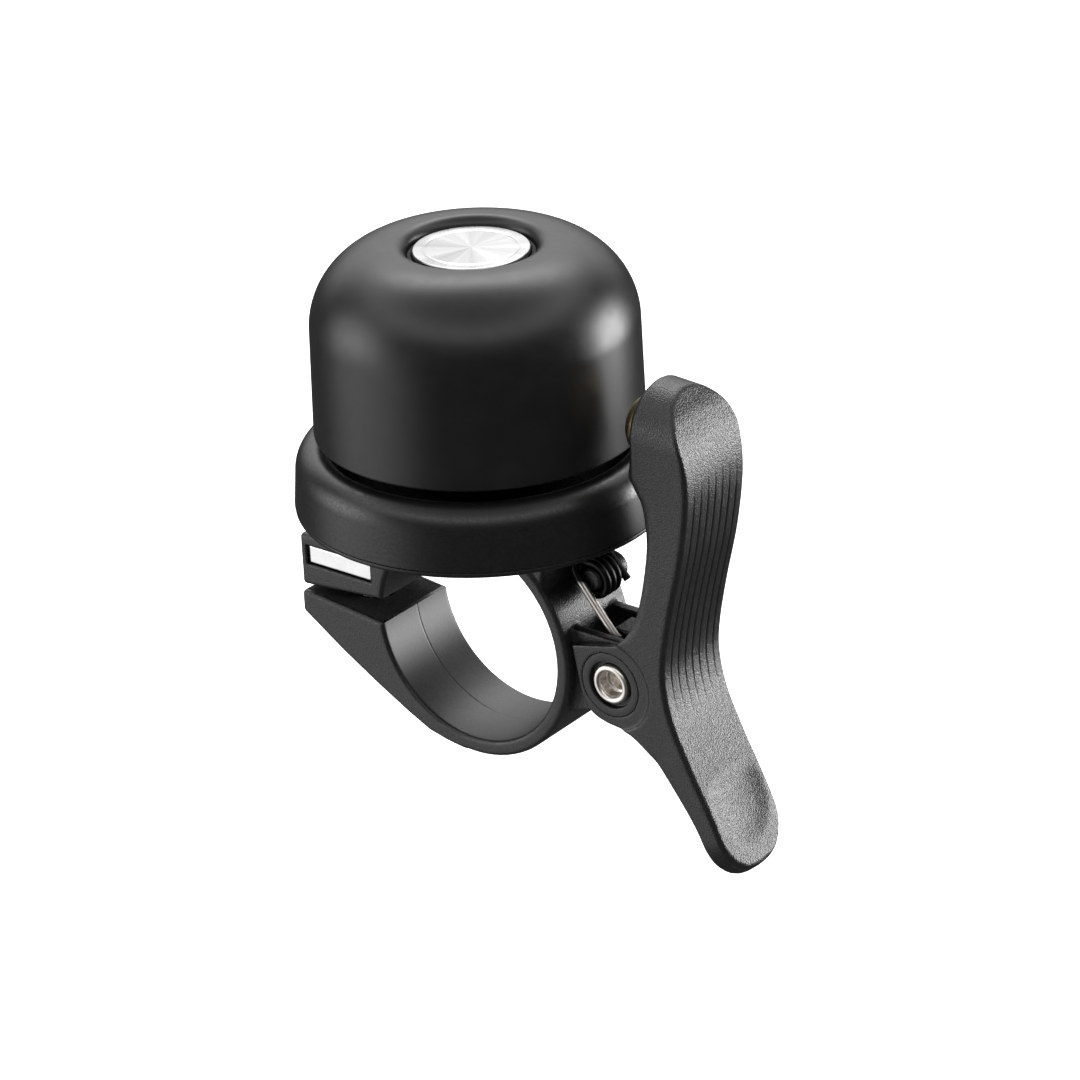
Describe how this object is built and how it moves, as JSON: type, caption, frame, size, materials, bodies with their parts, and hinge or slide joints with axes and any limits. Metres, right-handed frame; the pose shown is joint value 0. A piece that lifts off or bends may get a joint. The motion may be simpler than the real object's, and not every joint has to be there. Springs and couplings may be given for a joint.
{
  "type": "bicycle bell",
  "caption": "Handlebar bell with a black dome on a round base, a split clamp with a side screw, and a sprung thumb lever with a brass hammer.",
  "frame": {"origin": "centre of the handlebar bore, midway along the clamp", "axes": "+Z along the dome's axis, up; +Y along the handlebar; +X from the handlebar towards the lever"},
  "size_m": [0.0534, 0.0376, 0.0594],
  "materials": {
    "painted_dome": "satin",
    "brushed_aluminium": "brushed",
    "black_rubber": "matt",
    "smooth_plastic": "satin",
    "grained_plastic": "fine grain",
    "lever_plastic": "fine grain",
    "plated_steel": "bright",
    "spring_steel": "drawn wire",
    "brass": "satin"
  },
  "bodies": {
    "base": {"bell_dome": "painted_dome", "top_cap": "brushed_aluminium", "cap_gasket": "black_rubber", "dome_washer": "plated_steel", "dome_screw": "plated_steel", "dome_isolator": "black_rubber", "centre_post": "smooth_plastic", "base_skirt": "smooth_plastic", "base_plate": "smooth_plastic", "base_screw_1": "plated_steel", "base_screw_2": "plated_steel", "clamp_band": "grained_plastic", "clamp_nut": "plated_steel", "clamp_washer": "plated_steel", "clamp_screw": "plated_steel", "pivot_pin": "plated_steel", "pivot_spacer": "plated_steel", "spring_post": "smooth_plastic", "return_spring": "spring_steel"},
    "lever": {"lever": "lever_plastic", "hammer": "brass", "hammer_stud": "plated_steel"}
  },
  "joints": [
    {"name": "lever_pivot", "type": "hinge", "parent": "base", "child": "lever", "pos_m": [0.0173, 0, -0.0005], "axis": [0, 1, 0], "range_deg": [-5, 22], "stiffness_Nm_per_rad": 0.08, "deforming": ["return_spring"]}
  ]
}
